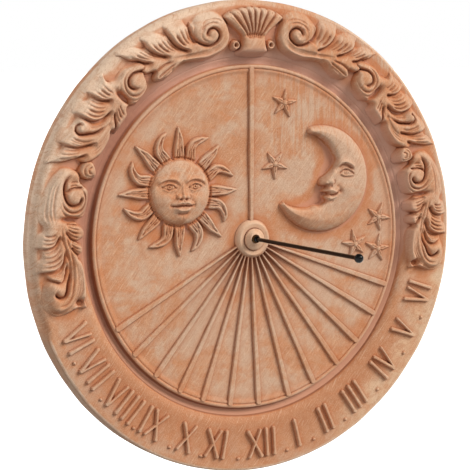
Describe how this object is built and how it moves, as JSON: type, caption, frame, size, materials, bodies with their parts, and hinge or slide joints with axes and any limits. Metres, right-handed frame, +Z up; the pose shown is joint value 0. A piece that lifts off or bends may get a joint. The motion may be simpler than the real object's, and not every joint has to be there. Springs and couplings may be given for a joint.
{
  "type": "wall sundial",
  "caption": "Round terracotta wall sundial with relief sun, moon, stars, garland and hour lines, and a black iron gnomon standing square to the dial.",
  "frame": {"origin": "centre of the flat back, where it lies on the wall", "axes": "+Z up the wall, +Y into the wall, -Y out of the dial towards the viewer, +X to the right seen from the front"},
  "size_m": [0.41, 0.2012, 0.41],
  "materials": {
    "terracotta": "unglazed fired clay with a worn whitish wash, matt and slightly pitted",
    "iron": "satin black painted iron",
    "brass": "dull drawn brass tube",
    "steel": "galvanised steel wire"
  },
  "bodies": {
    "plaque": {"garland_left_lower": "terracotta", "garland_left_middle": "terracotta", "garland_left_upper": "terracotta", "garland_right_lower": "terracotta", "garland_right_middle": "terracotta", "garland_right_upper": "terracotta", "gnomon_socket": "brass", "hanging_bar": "steel", "hour_line_III_pm": "terracotta", "hour_line_II_pm": "terracotta", "hour_line_IV_pm": "terracotta", "hour_line_IX_am": "terracotta", "hour_line_I_pm": "terracotta", "hour_line_VIII_am": "terracotta", "hour_line_VII_am": "terracotta", "hour_line_VI_am": "terracotta", "hour_line_VI_pm": "terracotta", "hour_line_V_pm": "terracotta", "hour_line_XII": "terracotta", "hour_line_XI_am": "terracotta", "hour_line_X_am": "terracotta", "hub_boss": "terracotta", "hub_cap": "terracotta", "meridian_line": "terracotta", "moon": "terracotta", "numeral_III_pm": "terracotta", "numeral_II_pm": "terracotta", "numeral_IV_pm": "terracotta", "numeral_IX_am": "terracotta", "numeral_I_pm": "terracotta", "numeral_VIII_am": "terracotta", "numeral_VII_am": "terracotta", "numeral_VI_am": "terracotta", "numeral_VI_pm": "terracotta", "numeral_V_pm": "terracotta", "numeral_XII": "terracotta", "numeral_XI_am": "terracotta", "numeral_X_am": "terracotta", "shell": "terracotta", "shell_knob_left": "terracotta", "shell_knob_right": "terracotta", "star_high": "terracotta", "star_low_left": "terracotta", "star_low_right": "terracotta", "star_mid": "terracotta", "star_right": "terracotta", "sun_face": "terracotta", "sun_rays": "terracotta", "terracotta_plaque": "terracotta"},
    "gnomon": {"gnomon_rod": "iron", "gnomon_ferrule": "iron", "gnomon_ball": "iron"}
  },
  "joints": [
    {"name": "gnomon_withdraw", "type": "slide", "parent": "plaque", "child": "gnomon", "axis": [0, -1, 0], "range_m": [0, 0.021]}
  ]
}
